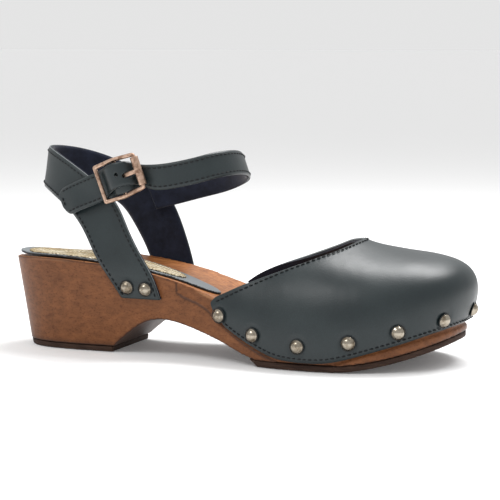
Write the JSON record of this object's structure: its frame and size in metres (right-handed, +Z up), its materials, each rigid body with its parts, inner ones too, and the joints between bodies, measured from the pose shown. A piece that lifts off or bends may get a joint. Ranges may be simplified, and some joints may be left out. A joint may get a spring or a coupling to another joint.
{
  "type": "wooden clog",
  "caption": "Closed-toe wooden clog for the right foot, with a leather vamp nailed to the sole, a heel strap and a buckled ankle strap.",
  "frame": {"origin": "on the floor at the middle of the heel's bottom face", "axes": "+X towards the toe, +Z up, -Y towards the outer side of the foot"},
  "size_m": [0.2484, 0.1012, 0.1051],
  "materials": {
    "wood": "stained and oiled, satin",
    "rubber": "matt",
    "sock_leather": "satin",
    "woven_label": "woven",
    "upper_leather": "smooth satin",
    "lining": "suede",
    "nail_metal": "antique nickel",
    "aged_brass": "aged copper"
  },
  "bodies": {
    "clog": {"wooden_sole": "wood", "forefoot_tread": "rubber", "heel_top_piece": "rubber", "insole_sock": "sock_leather", "woven_patch": "woven_label", "vamp_leather": "upper_leather", "vamp_lining": "lining", "strap_foot_outer": "upper_leather", "strap_foot_inner": "upper_leather", "strap_foot_lining_outer": "lining", "strap_foot_lining_inner": "lining", "vamp_nail_01": "nail_metal", "vamp_nail_02": "nail_metal", "vamp_nail_03": "nail_metal", "vamp_nail_04": "nail_metal", "vamp_nail_05": "nail_metal", "vamp_nail_06": "nail_metal", "vamp_nail_07": "nail_metal", "vamp_nail_08": "nail_metal", "vamp_nail_09": "nail_metal", "vamp_nail_10": "nail_metal", "vamp_nail_11": "nail_metal", "vamp_nail_12": "nail_metal", "vamp_nail_13": "nail_metal", "strap_nail_01": "nail_metal", "strap_nail_02": "nail_metal", "strap_nail_03": "nail_metal", "strap_nail_04": "nail_metal"},
    "straps": {"heel_strap": "upper_leather", "heel_strap_lining": "lining", "ankle_strap": "upper_leather", "ankle_strap_lining": "lining", "buckle_tab": "upper_leather"},
    "frame": {"buckle_frame": "aged_brass"},
    "prong": {"buckle_prong": "aged_brass"},
    "roller": {"buckle_roller": "aged_brass"}
  },
  "joints": [
    {"name": "strap_lean", "type": "hinge", "parent": "clog", "child": "straps", "pos_m": [0.031, 0, 0.063], "axis": [0, 1, 0], "range_deg": [-12, 14]},
    {"name": "frame_rock", "type": "hinge", "parent": "straps", "child": "frame", "pos_m": [0.03993, -0.0376, 0.09112], "axis": [-0.3502, 0, 0.9367], "range_deg": [-3, 3]},
    {"name": "prong_lift", "type": "hinge", "parent": "frame", "child": "prong", "pos_m": [0.03993, -0.0376, 0.09112], "axis": [0.3502, 0, -0.9367], "range_deg": [0, 10]},
    {"name": "roller_spin", "type": "hinge", "parent": "frame", "child": "roller", "pos_m": [0.0508, -0.0386, 0.09519], "axis": [-0.3502, 0, 0.9367], "continuous": true}
  ]
}
